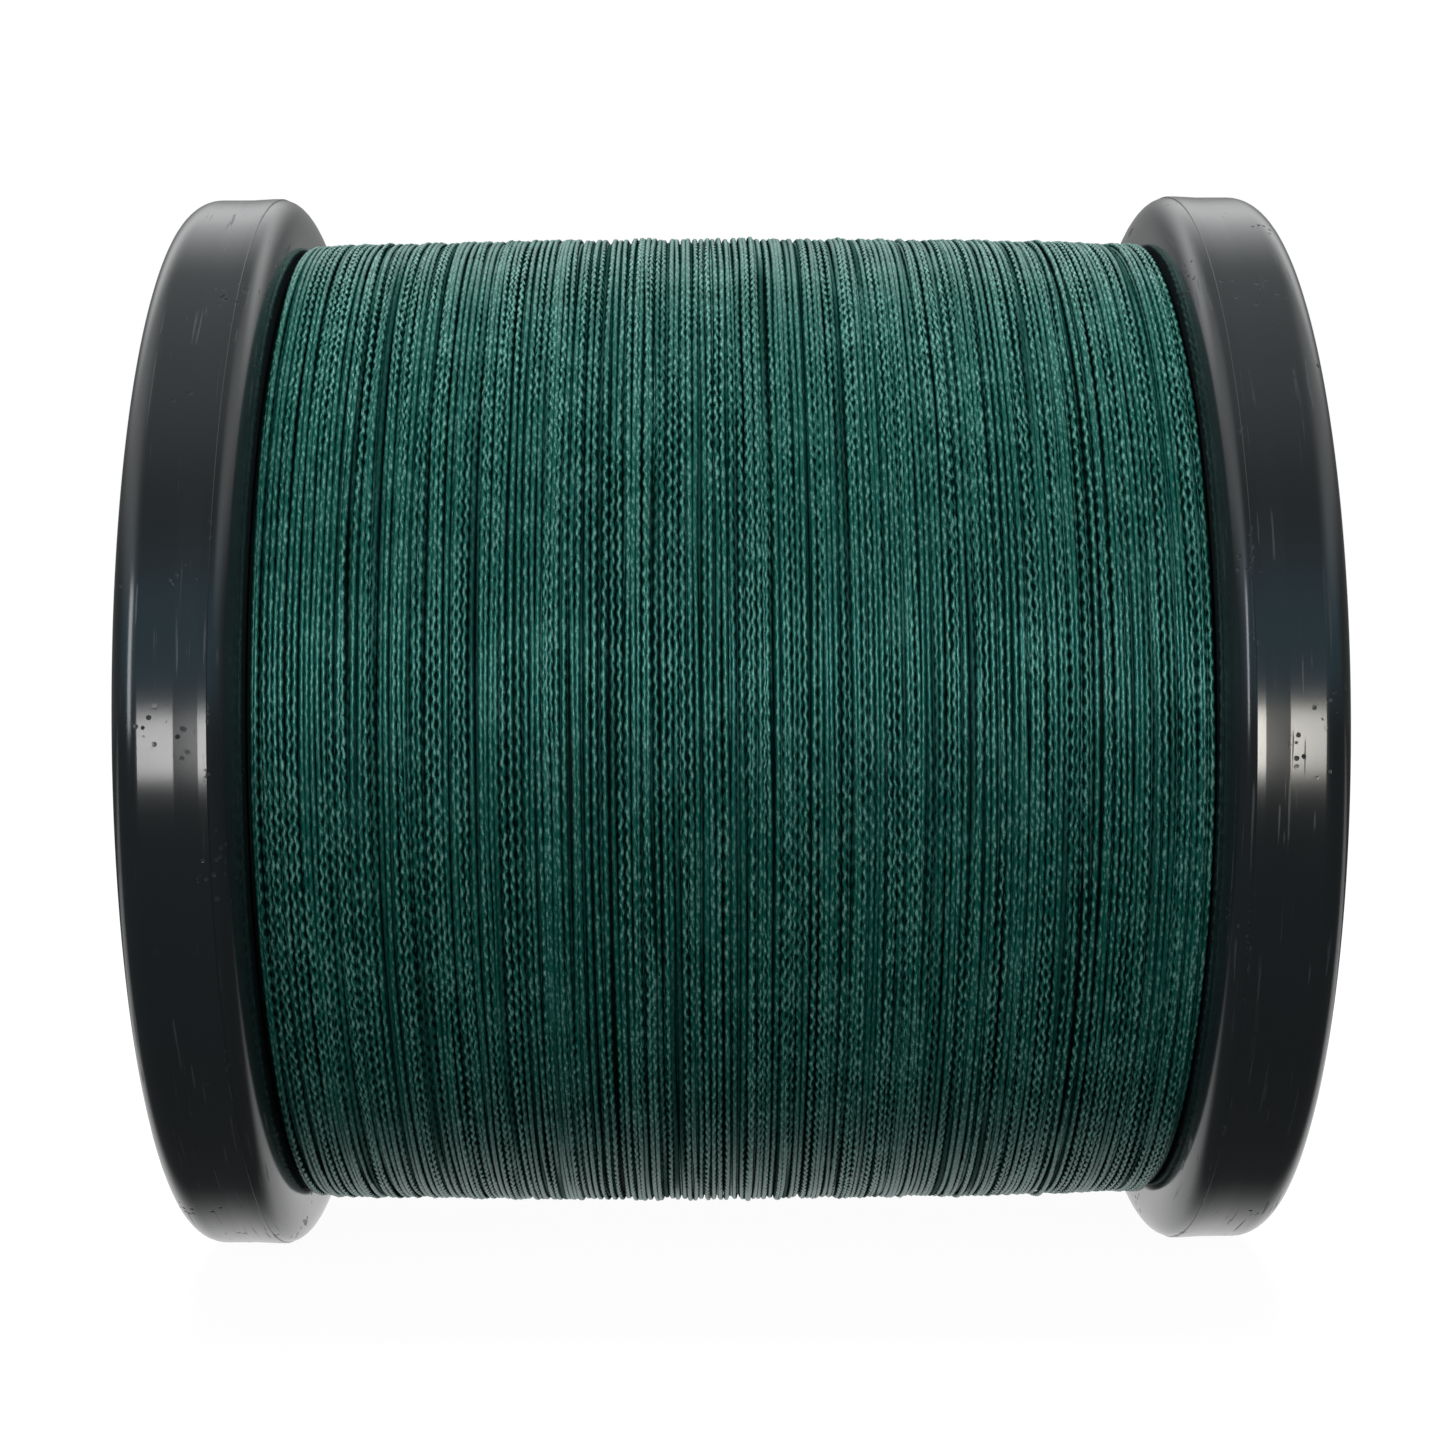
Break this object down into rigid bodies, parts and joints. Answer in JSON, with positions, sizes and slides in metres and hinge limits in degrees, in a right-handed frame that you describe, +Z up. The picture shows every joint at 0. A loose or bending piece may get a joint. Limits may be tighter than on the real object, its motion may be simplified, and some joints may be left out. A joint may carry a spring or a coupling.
{
  "type": "fishing line spool",
  "caption": "Bulk spool of dark braided fishing line wound between two glossy black flanges with rolled rims, a spoked hub and a central axle bore.",
  "frame": {"origin": "on the spool's axis, halfway between the two flanges", "axes": "+X along the spool's axis through both hubs, +Z up, +Y away from the side that is seen first; the spool lies on its two rims at z = -0.052"},
  "size_m": [0.1032, 0.104, 0.104],
  "materials": {
    "flange_plastic": "glossy moulded black polystyrene, lightly scuffed on the rims",
    "core_plastic": "satin extruded black tube",
    "braided_line": "dark green braided line with a waxy sheen, wound in nearly parallel turns",
    "tape": "thin milky adhesive tape, satin",
    "label_paper": "coated paper ring with plain printed bands and no lettering"
  },
  "bodies": {
    "root": {"right_flange": "flange_plastic", "left_flange": "flange_plastic", "core_tube": "core_plastic", "line_winding": "braided_line", "line_start_tape": "tape", "line_end_tape": "tape", "right_label": "label_paper", "left_label": "label_paper"}
  },
  "joints": []
}
